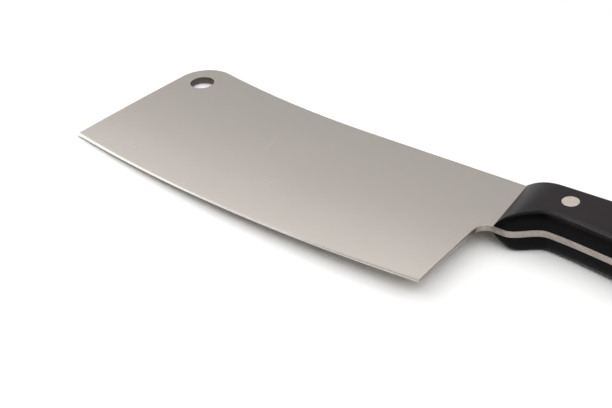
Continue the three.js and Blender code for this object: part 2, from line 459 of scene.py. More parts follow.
@dataclass(frozen=True)
class SteelFinish:
    """Stainless steel, ground with a belt or a wheel. Fine scratches blur what it mirrors.

    Attributes:
        name: The material's name.
        colour: sRGB hex of the bare metal.
        shade: How much darker the metal is in the depth of a scratch.
        roughness: Mean blur of the reflection.
        unevenness: How far the scratches move the blur up and down.
        scratch_width: Millimetres across a scratch, drawn coarser than a real one so as to show.
        scratch_length: Millimetres along a scratch.
        scratch_depth: Millimetres of relief.
        scratch_turn: Degrees about X, Y and Z that turn the scratches away from the X axis.
    """

    name: str
    colour: str
    shade: float
    roughness: float
    unevenness: float
    scratch_width: float
    scratch_length: float
    scratch_depth: float
    scratch_turn: Point

    def material(self) -> Material:
        """Build the material: drawn-out noise for the scratches over wide, faint wipe marks.

        Returns:
            The material.
        """
        material, shader = new_material(self.name, {"Metallic": 1.0})
        add = partial(add_node, material.node_tree)
        here = add("ShaderNodeTexCoord").outputs["Object"]
        across = self.scratch_width * MM
        along = add("ShaderNodeMapping", {
            "Vector": here,
            "Rotation": tuple(math.radians(turn) for turn in self.scratch_turn),
            "Scale": (self.scratch_length * MM, across, across),
        }, vector_type="TEXTURE").outputs["Vector"]
        scratches = add("ShaderNodeTexNoise", {
            "Vector": along, "Scale": 1.0, "Detail": 3.0, "Roughness": 0.6,
        }).outputs["Fac"]
        wipes = add("ShaderNodeTexNoise", {
            "Vector": here, "Scale": 1 / (WIPE_MARK * MM), "Detail": 2.0,
        }).outputs["Fac"]
        marks = add("ShaderNodeMix", {
            "Factor": WIPE_SHARE, "A": scratches, "B": wipes,
        }, data_type="FLOAT").outputs["Result"]
        bright = linear_colour(self.colour)
        deep = (*(value * (1 - self.shade) for value in bright[:3]), 1.0)
        lead_in(
            shader,
            tone=(scratches, SCRATCH_TONES, (deep, bright)),
            blur=(marks, self.roughness, self.unevenness),
            relief=(scratches, self.scratch_depth),
        )
        return material


# Fine belt grinding across the blade reads as an even satin sheen. Real scratches are about 0.05 mm
# wide, too fine for the picture, and are drawn 0.35 mm wide.
SATIN_STEEL = SteelFinish(
    name="satin ground stainless steel", colour="#D6CEC7", shade=0.015,
    roughness=0.26, unevenness=0.015, scratch_turn=(0.0, 0.0, 90.0),
    scratch_width=0.35, scratch_length=22.0, scratch_depth=0.00008,
)

# Spine, heel and the tang's rim are dressed on a coarse wheel, which leaves slanting lines of light
# and dark. Their tone, darker than the satin faces, is painted shade on these side walls.
WHEEL_SHADED_STEEL = SteelFinish(
    name="wheel ground stainless steel with painted shade", colour="#ACA49D", shade=0.3,
    roughness=0.36, unevenness=0.08, scratch_turn=(0.0, 38.0, 0.0),
    scratch_width=0.4, scratch_length=7.0, scratch_depth=0.003,
)

# The sharpened bevel is honed on a fine stone and mirrors the light above as a bright line.
HONED_STEEL = SteelFinish(
    name="honed stainless steel", colour="#D3D0CB", shade=0.04,
    roughness=0.14, unevenness=0.02, scratch_turn=(0.0, 0.0, 90.0),
    scratch_width=0.25, scratch_length=4.0, scratch_depth=0.0006,
)

# The hanging hole is punched, and its torn wall stays rough; its dark colour is painted shade of the
# hole's inside.
PUNCHED_SHADED_STEEL = SteelFinish(
    name="punched stainless steel with painted shade", colour="#756E68", shade=0.35,
    roughness=0.5, unevenness=0.08, scratch_turn=(0.0, 90.0, 0.0),
    scratch_width=0.3, scratch_length=1.5, scratch_depth=0.004,
)

# Rivet heads are sanded and buffed flush with the scales, with one straight grain across them all.
BUFFED_STEEL = SteelFinish(
    name="buffed stainless steel", colour="#F0E3D8", shade=0.08,
    roughness=0.36, unevenness=0.05, scratch_turn=(0.0, 0.0, 12.0),
    scratch_width=0.3, scratch_length=6.0, scratch_depth=0.0008,
)


@dataclass(frozen=True)
class PlasticFinish:
    """Black acetal, moulded against a fine-blasted tool. A soft sheen over an even, deep black.

    Attributes:
        name: The material's name.
        colour: sRGB hex of the plastic.
        handled: sRGB hex where hands have rubbed it a shade lighter.
        roughness: Mean blur of the reflection.
        unevenness: How far the grain moves the blur.
        specular: Strength of the mirror reflection, where 0.5 is that of clean plastic.
        grain_depth: Millimetres of relief.
        grain: Millimetres between the grains as drawn. Real ones are about 0.05 mm apart.
        ior: Index of refraction.
    """

    name: str
    colour: str
    handled: str
    roughness: float
    unevenness: float
    specular: float
    grain_depth: float
    grain: float = 0.3
    ior: float = 1.46

    def towards(self, other: "PlasticFinish", share: float) -> "PlasticFinish":
        """Finish a share of the way to another one, into which it runs out.

        Args:
            other: The other finish.
            share: How far this one has run out, from 0 to 1.

        Returns:
            The finish in between, named for both.
        """
        names = [item.name for item in fields(self) if item.type is float]
        return replace(
            self,
            name=f"{self.name} over {other.name}, {share:.0%}",
            colour=mixed_colour(self.colour, other.colour, share),
            handled=mixed_colour(self.handled, other.handled, share),
            **{name: lerp(getattr(self, name), getattr(other, name), share) for name in names},
        )

    def material(self) -> Material:
        """Build the material: a fine grain, with wide soft areas of handling.

        Returns:
            The material.
        """
        constants = {"IOR": self.ior, "Specular IOR Level": self.specular}
        material, shader = new_material(self.name, constants)
        add = partial(add_node, material.node_tree)
        here = add("ShaderNodeTexCoord").outputs["Object"]
        grain, rubbed = (
            add("ShaderNodeTexNoise", {
                "Vector": here, "Scale": 1 / (width * MM), "Detail": detail,
            }).outputs["Fac"]
            for width, detail in ((self.grain, 2.0), (RUBBED_AREA, 1.0))
        )
        tones = (linear_colour(self.colour), linear_colour(self.handled))
        lead_in(
            shader,
            tone=(rubbed, RUBBED_TONES, tones),
            blur=(grain, self.roughness, self.unevenness),
            relief=(grain, self.grain_depth),
        )
        return material


# The flat faces are sanded together with the rivets, which makes them soft; their black is painted a
# little grey as painted light, the lit copy of the sides' acetal.
LIT_SANDED_ACETAL = PlasticFinish(
    name="sanded black acetal", colour="#150C0E", handled="#1A1012",
    roughness=0.46, unevenness=0.05, specular=0.38, grain_depth=0.003,
)

# The corner of face and side is broken with a buffing wheel and mirrors the lamps as a soft line.
BUFFED_ACETAL = PlasticFinish(
    name="buffed black acetal", colour="#0C0808", handled="#100B0C",
    roughness=0.27, unevenness=0.03, specular=0.4, grain_depth=0.001,
)

# The rounded sides keep the skin of the mould and a tighter sheen; their deep black and weak
# reflection are painted shade, the shaded copy of the face's acetal.
SHADED_MOULDED_ACETAL = PlasticFinish(
    name="moulded black acetal", colour="#060506", handled="#090808",
    roughness=0.3, unevenness=0.04, specular=0.08, grain_depth=0.002,
)


@dataclass(frozen=True)
class PaperFinish:
    """White background paper: quite matt, so the knife leaves only its shadow on it.

    Attributes:
        name: The material's name.
        colour: sRGB hex of the paper.
        roughness: Blur of its faint reflection.
        specular: Strength of that reflection.
        lit: Millimetres from the knife up to which the lamps light the paper.
        white: Millimetres from which it is seen as plain white, past the lamps.
    """

    name: str = "white background paper"
    colour: str = "#FAFAF9"
    roughness: float = 0.9
    specular: float = 0.1
    lit: float = 450.0
    white: float = 900.0

    def material(self) -> Material:
        """Build the matt paper, which the eye and mirrors see as white past the lamps' reach.

        Returns:
            The material.
        """
        material, shader = new_material(self.name, {
            "Base Color": linear_colour(self.colour),
            "Roughness": self.roughness,
            "Specular IOR Level": self.specular,
        })
        tree = material.node_tree
        add = partial(add_node, tree)
        here = add("ShaderNodeTexCoord").outputs["Object"]
        away = add("ShaderNodeVectorMath", {0: here}, operation="LENGTH")
        past = add("ShaderNodeMapRange", {
            "Value": away.outputs["Value"],
            "From Min": self.lit * MM,
            "From Max": self.white * MM,
        }, interpolation_type="SMOOTHSTEP").outputs["Result"]
        ray = add("ShaderNodeLightPath").outputs
        seen = ray["Is Camera Ray"]
        for kind in ("Is Glossy Ray", "Is Transmission Ray"):
            either = add("ShaderNodeMath", {0: seen, 1: ray[kind]}, operation="MAXIMUM")
            seen = either.outputs[0]
        share = add("ShaderNodeMath", {0: past, 1: seen}, operation="MULTIPLY").outputs[0]
        plain = add("ShaderNodeEmission").outputs[0]
        mixed = add("ShaderNodeMixShader", {0: share, 1: shader.outputs[0], 2: plain})
        tree.links.new(mixed.outputs[0], tree.nodes["Material Output"].inputs["Surface"])
        return material


@cache
def material_of(finish: SteelFinish | PlasticFinish | PaperFinish) -> Material:
    """Material of a finish, built the first time that a piece asks for it."""
    return finish.material()


def dressed(
    piece: Object, finishes: Iterable[SteelFinish | PlasticFinish], slot: str, *nodes: str
) -> None:
    """Give a piece its finishes, and let it ride in place of its solids.

    Args:
        piece: Finished piece.
        finishes: Finishes in the order of the mesh's material slots.
        slot: A material slot's name; not used.
        *nodes: CAD nodes that the piece stands for.
    """
    for finish in finishes:
        piece.data.materials.append(material_of(finish))
    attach(piece, "root")
    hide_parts(*nodes)


# Sub-assemblies


@dataclass
class Handle:
    """The grip: where its outline runs, how thick its scales are, and the two scales themselves."""

    tang_thickness: float = TANG_THICKNESS
    choil_radius: float = 5.0
    underside_height: float = 41.3
    spine_height: float = SPINE_HEIGHT
    front_lean: float = 6.2
    guard_run: float = 4.5
    groove_run: float = 14.5
    palm_run: float = 44.0
    waist_run: float = 26.0
    beak_run: float = 20.0
    butt_run: float = 9.0
    butt_turn: float = 86.0
    groove_depth: float = 7.8
    palm_depth: float = 4.6
    waist_depth: float = 5.8
    beak_depth: float = 1.0
    spine_fall: float = 3.0
    thickness: float = 7.5
    crest_reach: float = 38.0
    front_thickness: float = 6.7
    butt_thickness: float = 6.6
    belly_slope: float = 11.0
    spine_slope: float = 16.0
    front_fullness: float = 2.3
    side_roll: float = 3.0
    roll_power: float = 0.85
    corner_share: float = 0.52
    # How far the face's painted light reaches, and the runs over which it fades into the sides'
    # painted shade
    lit_sanded_share: float = 0.5
    guard_fade: float = 4.5
    groove_fade: float = 8.5
    palm_fade: float = 0.5
    fade_steps: int = 5
    lip: float = 0.3
    largest_side_share: float = 1 / 3
    rivet_gap: float = 0.06
    rivet_easing: float = 0.12
    rivet_margin: float = 0.5
    slope_steps: int = 30
    body_steps: int = 90
    butt_steps: int = 22
    roll_steps: int = 18
    across_steps: int = 14
    rim_share: float = 0.02
    hole_steps: int = 48
    crease: float = 40.0

    def __post_init__(self) -> None:
        """Work out the runs and lines that follow from the sizes."""
        self.half = self.tang_thickness / 2
        self.lean = math.tan(math.radians(self.front_lean))
        groove_end = self.guard_run + self.groove_run
        palm_end = groove_end + self.palm_run
        waist_end = palm_end + self.waist_run
        self.beak_reach = waist_end + self.beak_run
        self.run = self.beak_reach + self.butt_run
        low, high = self.underside_height, self.spine_height
        self.belly_stations = [
            (self.guard_run, low),
            (groove_end, low + self.groove_depth),
            (palm_end, low + self.palm_depth),
            (waist_end, low + self.waist_depth),
            (self.beak_reach, low + self.beak_depth),
        ]
        self.spine_stations = [(palm_end, high), (self.beak_reach, high - self.spine_fall)]
        self.roll_stations = [(groove_end, 1.0), (palm_end, self.roll_power)]
        buffed = groove_end + self.groove_run
        self.corner_stations = [
            (self.groove_run, 1.0),
            (buffed, self.corner_share),
            (waist_end, self.corner_share),
            (self.beak_reach, 1.0),
        ]
        self.fade_stations = [
            (self.groove_run, self.guard_fade),
            (groove_end, self.groove_fade),
            (buffed, self.palm_fade),
        ]
        slope_end = max(self.belly_slope, self.spine_slope)
        slope_turns = spread(0, QUARTER_TURN, self.slope_steps)[:-1]
        butt_turns = spread(0, math.radians(self.butt_turn), self.butt_steps)
        self.reaches = [
            *(slope_end * (1 - math.cos(turn)) for turn in slope_turns),
            *spread(slope_end, self.beak_reach, self.body_steps)[:-1],
            *(self.beak_reach + self.butt_run * math.sin(turn) for turn in butt_turns),
        ]

    def x_at(self, s: float, y: float) -> float:
        """X of a point at reach s from the handle's front. The sections lean with the front."""
        return self.choil_radius + s - self.lean * (y - self.underside_height)

    def reach_at(self, x: float, y: float) -> float:
        """Reach from the handle's front of a point in plan."""
        return x - self.choil_radius + self.lean * (y - self.underside_height)

    def edges(self, s: float) -> Flat:
        """Find the handle's outline at one section. The butt closes as half an ellipse.

        Args:
            s: Reach from the handle's front.

        Returns:
            Heights of the belly and the spine.
        """
        belly = smooth_line(self.belly_stations, s)
        spine = smooth_line(self.spine_stations, s)
        past = clamp((s - self.beak_reach) / self.butt_run)
        opening = (spine - belly) / 2 * math.sqrt(1 - past * past)
        middle = (spine + belly) / 2
        return middle - opening, middle + opening

    def height(self, s: float, share: float) -> float:
        """Height of a scale's outer face above the tang.

        Args:
            s: Reach from the handle's front.
            share: Place across the face, 0 at the belly and 1 at the spine.

        Returns:
            The height in millimetres.
        """
        before = s < self.crest_reach
        end = self.front_thickness if before else self.butt_thickness
        span = self.crest_reach if before else self.run - self.crest_reach
        away = (s - self.crest_reach) / span
        swell = self.thickness - (self.thickness - end) * away * away
        slope = lerp(self.belly_slope, self.spine_slope, share)
        rise = 1 - (1 - clamp(s / slope)) ** self.front_fullness
        round_end = math.sqrt(1 - (1 - clamp((self.reaches[-1] - s) / self.side_roll)) ** 2)
        return self.lip + (swell - self.lip) * rise * round_end

    def face_height(self, x: float, y: float) -> float:
        """Find the height of a scale's outer face above the blade's middle plane.

        Args:
            x: Place in plan along the blade.
            y: Place in plan across it.

        Returns:
            The height in millimetres.
        """
        s = self.reach_at(x, y)
        belly, spine = self.edges(s)
        return self.half + self.height(s, (y - belly) / (spine - belly))

    def rolled_side(self, s: float, share: int) -> list[Flat]:
        """Round one side of a scale at a section, as a squarish quarter round.

        Args:
            s: Reach from the handle's front.
            share: 0 for the side along the belly, 1 for that along the spine.

        Returns:
            Pairs of inset and height, from the tang up to the outer face.
        """
        belly, spine = self.edges(s)
        height = self.height(s, share)
        widest = (spine - belly) * self.largest_side_share
        roll = min(self.side_roll * height / self.thickness, widest)
        power = smooth_line(self.roll_stations, s)
        turns = spread(0, QUARTER_TURN, self.roll_steps)
        bends = [(math.cos(t) ** power, math.sin(t) ** power) for t in turns]
        return [(roll * (1 - out), self.half + height * up) for out, up in bends]

    def face_finish(self, x: float, y: float) -> int:
        """Finish of the outer face: sanded, with painted light, up to where it rolls over at the butt
        into the sides' painted shade.
        """
        left = (self.reaches[-1] - self.reach_at(x, y)) / self.side_roll
        return ScaleFinish.FACE if left > self.lit_sanded_share else ScaleFinish.SIDE

    def side_finish(self, k: int, x: float, y: float) -> int:
        """Choose the finish of the rounded sides.

        Args:
            k: Number of the row, counted up from the tang.
            x: Place in plan along the blade.
            y: Place in plan across it.

        Returns:
            Buffed next to the outer face behind the groove, and below it the run-out from the face's
            painted light into the sides' painted shade.
        """
        s = self.reach_at(x, y)
        left = smooth_line(self.corner_stations, s) * self.roll_steps - k
        if left <= 0:
            return ScaleFinish.CORNER
        faded = left / smooth_line(self.fade_stations, s)
        return ScaleFinish.FADE + int(faded * self.fade_steps) if faded < 1 else ScaleFinish.SIDE

    def side_rows(self, skin: Skin, sign: int, share: int) -> list[list[int]]:
        """Add one of a scale's rounded sides to its skin.

        Args:
            skin: The scale's skin.
            sign: 1 for the upper scale, -1 for the lower one.
            share: 0 for the side along the belly, 1 for that along the spine.

        Returns:
            Rows of points from the front to the butt, the row on the tang first.
        """
        rows: list[list[Point]] = [[] for _ in range(self.roll_steps + 1)]
        for s in self.reaches:
            edge = self.edges(s)[share]
            for row, (inset, z) in zip(rows, self.rolled_side(s, share)):
                y = edge - inset if share else edge + inset
                row.append((self.x_at(s, y), y, sign * z))
        numbers = [skin.row(row) for row in rows]
        for k in range(self.roll_steps):
            skin.band(numbers[k], numbers[k + 1], partial(self.side_finish, k), closed=False)
        return numbers

    def across(self, s: float, sign: int, low: float, high: float) -> list[Point]:
        """Points of a scale's outer face at one section, from near the spine's rim to the belly's.

        Args:
            s: Reach of the section from the handle's front.
            sign: 1 for the upper scale, -1 for the lower one.
            low: Y of the belly's rim.
            high: Y of the spine's rim.

        Returns:
            The points, without those on the rims.
        """
        found = []
        inner = spread(1, 0, self.across_steps)[1:-1]
        for share in (1 - self.rim_share, *inner, self.rim_share):
            y = lerp(low, high, share)
            found.append((self.x_at(s, y), y, sign * (self.half + self.height(s, share))))
        return found

    def build(self, side: Side, rivets: "Rivets") -> Object:
        """Build one scale, drilled for the rivets' heads and shanks.

        Args:
            side: Side of the tang that the scale lies on.
            rivets: The rivets that hold it.

        Returns:
            The scale's object.
        """
        skin = Skin()
        sign = side.value
        spine_rows, belly_rows = (self.side_rows(skin, sign, share) for share in (1, 0))
        sections = [
            self.across(s, sign, skin.points[low].y, skin.points[high].y)
            for s, low, high in zip(self.reaches, belly_rows[-1], spine_rows[-1])
        ]
        front, butt = (skin.row(sections[i]) for i in (0, -1))
        for i, middle in ((0, front), (-1, butt)):
            rim = [row[i] for row in spine_rows] + middle + [row[i] for row in belly_rows[::-1]]
            skin.face(rim, self.face_finish)
        places = rivets.places(self)
        holes = [rivets.hole(skin, place, sign, self) for place in places]
        clear = rivets.head_radius + self.rivet_gap + self.rivet_easing + self.rivet_margin
        loose = [at for row in sections[1:-1] for at in row if distance(at[:2], places) > clear]
        brim = spine_rows[-1] + butt + belly_rows[-1][::-1] + front[::-1]
        seat = spine_rows[0] + belly_rows[0][::-1]
        mouths, bottoms = zip(*holes)
        skin.sheet(brim, mouths, skin.row(loose), [], self.face_finish)
        skin.sheet(seat, bottoms, [], [], self.face_finish)
        return skin.piece(f"{side.name.lower()}_scale", self.crease)

    def dress(self, piece: Object, side: Side) -> None:
        """Dress one scale in acetal, in place of its solid.

        Args:
            piece: The scale's object.
            side: Side of the tang that it lies on.
        """
        # The sides' painted shade is reached from the face's painted light in even steps
        steps = [(step + 0.5) / self.fade_steps for step in range(self.fade_steps)]
        fades = [LIT_SANDED_ACETAL.towards(SHADED_MOULDED_ACETAL, step) for step in steps]
        finishes = [LIT_SANDED_ACETAL, SHADED_MOULDED_ACETAL, BUFFED_ACETAL, *fades]
        dressed(piece, finishes, "handle_plastic", f"scale_{side.name.lower()}")


@dataclass
class Rivets:
    """Three two-piece rivets: headed sleeves from above, and headed pins driven in from below."""

    names: tuple[str, ...] = ("front", "middle", "rear")
    inset: float = 22.4
    drop: float = 10.4
    pin_radius: float = 1.3
    pin_clearance: float = 0.1
    sleeve_wall: float = 0.9
    head_overhang: float = 1.0
    head_thickness: float = 2.4
    hole_clearance: float = 0.15
    end_gap: float = 0.5
    head_easing: float = 0.05
    knee: float = 0.3
    sides: int = 48
    sleeve_profile: int = 9
    pin_profile: int = 7
    crease: float = 30.0

    def __post_init__(self) -> None:
        """Work out the radii that follow from the sizes."""
        self.bore_radius = self.pin_radius + self.pin_clearance
        self.sleeve_radius = self.bore_radius + self.sleeve_wall
        self.head_radius = self.sleeve_radius + self.head_overhang
        self.hole_radius = self.sleeve_radius + self.hole_clearance

    def places(self, handle: Handle) -> list[Flat]:
        """Find the rivets' places, in a row parallel to the spine.

        Args:
            handle: The handle that they hold.

        Returns:
            The places in plan.
        """
        y = handle.spine_height - self.drop
        reaches = spread(self.inset, handle.beak_reach - self.inset, len(self.names) - 1)
        return [(handle.x_at(s, y), y) for s in reaches]

    def hole(
        self, skin: Skin, place: Flat, sign: int, handle: Handle
    ) -> tuple[list[int], list[int]]:
        """Drill one stepped rivet hole with an eased mouth into a scale's skin.

        Args:
            skin: The scale's skin.
            place: Middle of the hole in plan.
            sign: 1 for the upper scale, -1 for the lower one.
            handle: The handle whose face the hole opens in.

        Returns:
            Points round the hole in the outer face and in the seat on the tang.
        """
        seat = handle.face_height(*place) - self.head_thickness
        mouth = self.head_radius + handle.rivet_gap
        eased = handle.rivet_easing
        rows = []
        # The mouth's eased edge bends at its knee, a share of the way in from the corner
        for radius, fixed, drop in (
            (mouth + eased, None, 0.0),
            (mouth + eased * self.knee, None, eased * self.knee),
            (mouth, None, eased),
            (mouth, seat, 0.0),
            (self.hole_radius, seat, 0.0),
            (self.hole_radius, handle.half, 0.0),
        ):
            row = []
            for x, y in ring(place, radius, handle.hole_steps):
                z = handle.face_height(x, y) - drop if fixed is None else fixed
                row.append((x, y, sign * z))
            rows.append(skin.row(row))
        for outer, inner in zip(rows, rows[1:]):
            skin.band(outer, inner, handle.face_finish)
        return rows[0], rows[-1]

    def half_tree(self, name: str) -> NodeTree:
        """Node tree that turns a rivet half on a lathe and sets one at each place.

        Args:
            name: Name of the tree.

        Returns:
            The tree, with its sizes as named inputs. The places' mesh has a "turn" on each point.
        """
        tree = bpy.data.node_groups.new(name, "GeometryNodeTree")
        add = partial(add_node, tree)
        inputs = {
            "Geometry": ("Places",),
            "Float": (
                "Face Radius", "Head Radius", "Shank Radius", "Bore Radius",
                "Rim Level", "Seat Level", "End Level",
            ),
            "Int": ("Profile Points", "Sides"),
            "Material": ("Finish",),
        }
        for kind, titles in inputs.items():
            for title in titles:
                tree.interface.new_socket(title, in_out="INPUT", socket_type=f"NodeSocket{kind}")
        tree.interface.new_socket("Rivets", in_out="OUTPUT", socket_type="NodeSocketGeometry")
        given = add("NodeGroupInput").outputs
        # Profile from the middle of the head's face, round its rim, down the shank and up the bore
        profile = [
            (0.0, 0.0),
            (given["Face Radius"], 0.0),
            (given["Head Radius"], given["Rim Level"]),
            (given["Head Radius"], given["Seat Level"]),
            (given["Shank Radius"], given["Seat Level"]),
            (given["Shank Radius"], given["End Level"]),
            (given["Bore Radius"], given["End Level"]),
            (given["Bore Radius"], given["Seat Level"]),
            (0.0, given["Seat Level"]),
        ]
        math_node = "ShaderNodeMath"
        sides = given["Sides"]
        columns = add(math_node, {0: sides, 1: 1.0}, operation="ADD").outputs[0]
        lathe = add("GeometryNodeMeshGrid", {
            "Vertices X": given["Profile Points"], "Vertices Y": columns,
        }).outputs["Mesh"]
        index = add("GeometryNodeInputIndex").outputs[0]
        along = add(math_node, {0: index, 1: columns}, operation="DIVIDE").outputs[0]
        step = add(math_node, {0: along}, operation="FLOOR").outputs[0]
        part = add(math_node, {0: along}, operation="FRACT").outputs[0]
        turn = add(math_node, {0: part, 1: columns}, operation="MULTIPLY").outputs[0]
        swing = add("ShaderNodeMapRange", {
            "Value": turn, "From Max": sides, "To Max": FULL_TURN,
        }).outputs["Result"]
        switch = add("GeometryNodeIndexSwitch", data_type="VECTOR")
        while len(switch.index_switch_items) < len(profile):
            switch.index_switch_items.new()
        tree.links.new(step, switch.inputs["Index"])
        for number, (radius, level) in enumerate(profile):
            point = add("ShaderNodeCombineXYZ", {"X": radius, "Z": level}).outputs[0]
            tree.links.new(point, switch.inputs[number + 1])
        swung = add("ShaderNodeVectorRotate", {
            "Vector": switch.outputs[0], "Angle": swing,
        }, rotation_type="Z_AXIS").outputs[0]
        turned = add("GeometryNodeSetPosition", {"Geometry": lathe, "Position": swung})
        welded = add("GeometryNodeMergeByDistance", {
            "Geometry": turned.outputs[0], "Distance": WELD,
        })
        turns = add("GeometryNodeInputNamedAttribute", {
            "Name": "turn",
        }, data_type="FLOAT_VECTOR").outputs["Attribute"]
        facing = add("FunctionNodeEulerToRotation", {"Euler": turns})
        spots = add("GeometryNodeInstanceOnPoints", {
            "Points": given["Places"],
            "Instance": welded.outputs[0],
            "Rotation": facing.outputs[0],
        })
        real = add("GeometryNodeRealizeInstances", {"Geometry": spots.outputs[0]})
        steel = add("GeometryNodeSetMaterial", {
            "Geometry": real.outputs[0], "Material": given["Finish"],
        })
        add("NodeGroupOutput", {"Rivets": steel.outputs[0]})
        return tree

    def build(self, side: Side, handle: Handle) -> Object:
        """Build the sleeves or the pins, with heads flush with their scale.

        Args:
            side: The upper side has the sleeves, the lower one the pins.
            handle: The handle that they hold.

        Returns:
            One piece with all three halves.
        """
        upper = side is Side.UPPER
        name = "rivet_sleeves" if upper else "rivet_pins"
        level = handle.face_height
        step = self.head_radius
        points, turns = [], []
        for x, y in self.places(handle):
            rise = math.atan((level(x + step, y) - level(x - step, y)) / (2 * step))
            bank = math.atan((level(x, y + step) - level(x, y - step)) / (2 * step))
            points.append(placed(x, y, side.value * level(x, y)))
            turns += (bank, -rise, 0.0) if upper else (math.pi - bank, rise, 0.0)
        mesh = bpy.data.meshes.new(name)
        mesh.from_pydata(points, [], [])
        mesh.attributes.new("turn", "FLOAT_VECTOR", "POINT").data.foreach_set("vector", turns)
        seed = in_scene(name, mesh)
        tree = self.half_tree(name)
        modifier = seed.modifiers.new("lathe", "NODES")
        modifier.node_group = tree
        _, middle, _ = self.places(handle)
        through = 2 * level(*middle) - self.head_thickness - self.end_gap
        sizes = {
            "Face Radius": (self.head_radius - self.head_easing) * MM,
            "Head Radius": self.head_radius * MM,
            "Shank Radius": (self.sleeve_radius if upper else self.pin_radius) * MM,
            "Bore Radius": (self.bore_radius if upper else 0.0) * MM,
            "Rim Level": -self.head_easing * MM,
            "Seat Level": -self.head_thickness * MM,
            "End Level": -through * MM,
            "Profile Points": self.sleeve_profile if upper else self.pin_profile,
            "Sides": self.sides,
            "Finish": material_of(BUFFED_STEEL),
        }
        for item in tree.interface.items_tree:
            if item.in_out == "INPUT" and item.name in sizes:
                modifier[item.identifier] = sizes[item.name]
        graph = bpy.context.evaluated_depsgraph_get()
        solid = bpy.data.meshes.new_from_object(seed.evaluated_get(graph))
        bpy.data.objects.remove(seed)
        bpy.data.meshes.remove(mesh)
        solid.name = name
        return finished(name, solid, self.crease)

    def dress(self, piece: Object, side: Side) -> None:
        """Let the halves ride in place of their solids. Their finish comes with their nodes."""
        half = "sleeve" if side is Side.UPPER else "pin"
        dressed(piece, [], "rivet_steel", *(f"rivet_{name}_{half}" for name in self.names))


@dataclass
class Blade:
    """Blade and full tang, one ground plate with a hanging hole."""

    handle: Handle
    rivets: Rivets
    length: float = BLADE_LENGTH
    straight_spine: float = 72.3
    flare_radius: float = 461.0
    tip_rise: float = 4.1
    edge_sag: float = 5.5
    tip_lean: float = 3.4
    tip_radius: float = 14.0
    heel_radius: float = 0.7
    thickness_at_heel: float = 0.85
    edge_angle: float = 21.0
    hone_angle: float = 28.0
    hone_width: float = 0.26
    edge_land: float = 0.1
    honed_rim: float = 0.2
    grind_blend: float = 28.0
    hanging_hole: float = 10.4
    hole_towards_tip: float = 1.8
    hole_towards_spine: float = 0.6
    easing: float = 0.3
    thin_easing: float = 0.45
    sharpest_mitre: float = 0.5
    face_inset: float = 2.2
    line_margin: float = 0.7
    edge_steps: int = 120
    corner_steps: int = 24
    flare_steps: int = 48
    easing_steps: int = 9
    hole_steps: int = 64
    longest_step: float = 3.0
    face_step: float = 3.5
    halvings: int = 40
    depth_rounds: int = 20
    crease: float = 10.5

    def __post_init__(self) -> None:
        """Work out the circles of the edge, the tip corner and the flare, and the slopes."""
        self.tip = Vector((-self.length, self.tip_rise))
        chord = self.tip.length
        self.half = self.handle.half
        self.edge_radius = chord * chord / (8 * self.edge_sag) + self.edge_sag / 2
        square = Vector((self.tip_rise, self.length)).normalized()
        self.edge_centre = self.tip / 2 + square * (self.edge_radius - self.edge_sag)
        lean = math.radians(self.tip_lean)
        up_tip = Vector((math.sin(lean), math.cos(lean)))
        self.in_from_tip = Vector((up_tip.y, -up_tip.x))
        flare_height = self.handle.spine_height + self.flare_radius
        self.flare_centre = Vector((-self.straight_spine, flare_height))
        corner = self.tip + self.in_from_tip * self.tip_radius
        to_flare = self.flare_centre - corner
        off = to_flare.dot(self.in_from_tip)
        reach = math.sqrt((self.flare_radius + self.tip_radius) ** 2 - off ** 2)
        self.tip_corner = corner + up_tip * (to_flare.dot(up_tip) - reach)
        self.bevel_slope = math.tan(math.radians(self.edge_angle))
        self.hone_slope = math.tan(math.radians(self.hone_angle))
        steeper = self.hone_slope - self.bevel_slope
        self.bevel_base = self.edge_land / 2 + steeper * self.hone_width
        ground_off = self.half - self.thickness_at_heel / 2
        self.grind_slope = ground_off / self.handle.underside_height

    def ground_half(self, x: float, y: float) -> float:
        """Find what the flat grind leaves. It runs out softly at the handle's level.

        Args:
            x: Place in plan along the blade.
            y: Place in plan across it.

        Returns:
            Half the blade's thickness in millimetres.
        """
        below = self.handle.underside_height - y
        blend = self.grind_blend
        if x > self.handle.choil_radius or below < -blend:
            return self.half
        if below > blend:
            return self.half - self.grind_slope * below
        return self.half - self.grind_slope * (below + blend) ** 2 / (4 * blend)

    def bevel_half(self, x: float, y: float) -> float:
        """Find what the sharpened bevel and the steeper line honed along it leave.

        Args:
            x: Place in plan along the blade.
            y: Place in plan across it.

        Returns:
            Half the blade's thickness in millimetres.
        """
        depth = self.edge_radius - math.dist((x, y), self.edge_centre)
        honed = self.edge_land / 2 + self.hone_slope * depth
        return min(honed, self.bevel_base + self.bevel_slope * depth)

    def half_at(self, x: float, y: float) -> float:
        """Half thickness of the finished blade over a point in plan."""
        return min(self.ground_half(x, y), self.bevel_half(x, y))

    def face_finish(self, x: float, y: float) -> BladeFinish:
        """Finish of the blade's side at a place in plan."""
        honed = self.bevel_half(x, y) < self.ground_half(x, y)
        return BladeFinish.HONED if honed else BladeFinish.SATIN

    def rim_finish(self, x: float, y: float) -> BladeFinish:
        """Finish of the blade's rim at a place in plan."""
        honed = self.bevel_half(x, y) < self.honed_rim
        return BladeFinish.HONED if honed else BladeFinish.GROUND

    def punched_shade_finish(self, x: float, y: float) -> BladeFinish:
        """Finish of the walls of all holes, darkened with painted shade."""
        return BladeFinish.PUNCHED

    def ease(self, point: Flat) -> float:
        """Radius of the eased edge at a point of the outline, less where the metal is thin."""
        return min(self.easing, self.thin_easing * self.half_at(*point))

    def bevel_end(self, start: Flat, end: Flat, inwards: Vector) -> Flat:
        """Point of a straight rim inside which the bevel meets the ground face.

        Args:
            start: End of the rim at the cutting edge.
            end: A point of the rim well above the bevel.
            inwards: Direction from the rim into the blade.

        Returns:
            The point between them.
        """
        low, high = 0.0, 1.0
        for _ in range(self.halvings):
            middle = (low + high) / 2
            at = Vector(start).lerp(Vector(end), middle)
            at += inwards * self.face_inset * self.ease(at)
            if self.bevel_half(*at) < self.ground_half(*at):
                low = middle
            else:
                high = middle
        return tuple(Vector(start).lerp(Vector(end), high))

